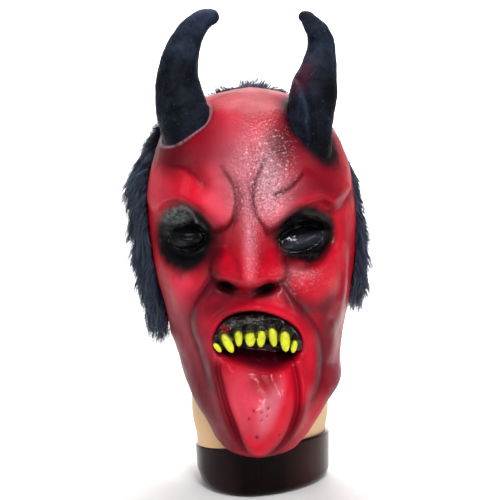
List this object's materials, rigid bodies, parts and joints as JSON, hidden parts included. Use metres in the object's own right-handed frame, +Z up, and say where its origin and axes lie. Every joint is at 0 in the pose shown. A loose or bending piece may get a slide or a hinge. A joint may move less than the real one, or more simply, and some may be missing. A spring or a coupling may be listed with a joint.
{
  "type": "devil face mask",
  "caption": "Moulded latex devil mask with black horns, bared teeth and a long tongue, a panel of fur over the hood, worn by a plain display head on an oval base.",
  "frame": {"origin": "centre of the flat underside of the oval base", "axes": "+Z up along the neck, the face looks towards -Y, +X is to the viewer's right"},
  "size_m": [0.2393, 0.2622, 0.4473],
  "materials": {
    "red_latex": "glossy painted latex, airbrushed dark in the folds, round the eyes and round the horns",
    "horn_left": "satin black with a blue-grey bloom",
    "horn_right": "satin black with a blue-grey bloom",
    "black_fur": "long matt pile",
    "head_plastic": "satin, tan",
    "base_plastic": "glossy, very dark brown"
  },
  "bodies": {
    "root": {"mask_shell": "red_latex", "horn_left": "horn_left", "horn_right": "horn_right", "fur_hair": "black_fur", "stand_head": "head_plastic", "stand_base": "base_plastic"}
  },
  "joints": []
}
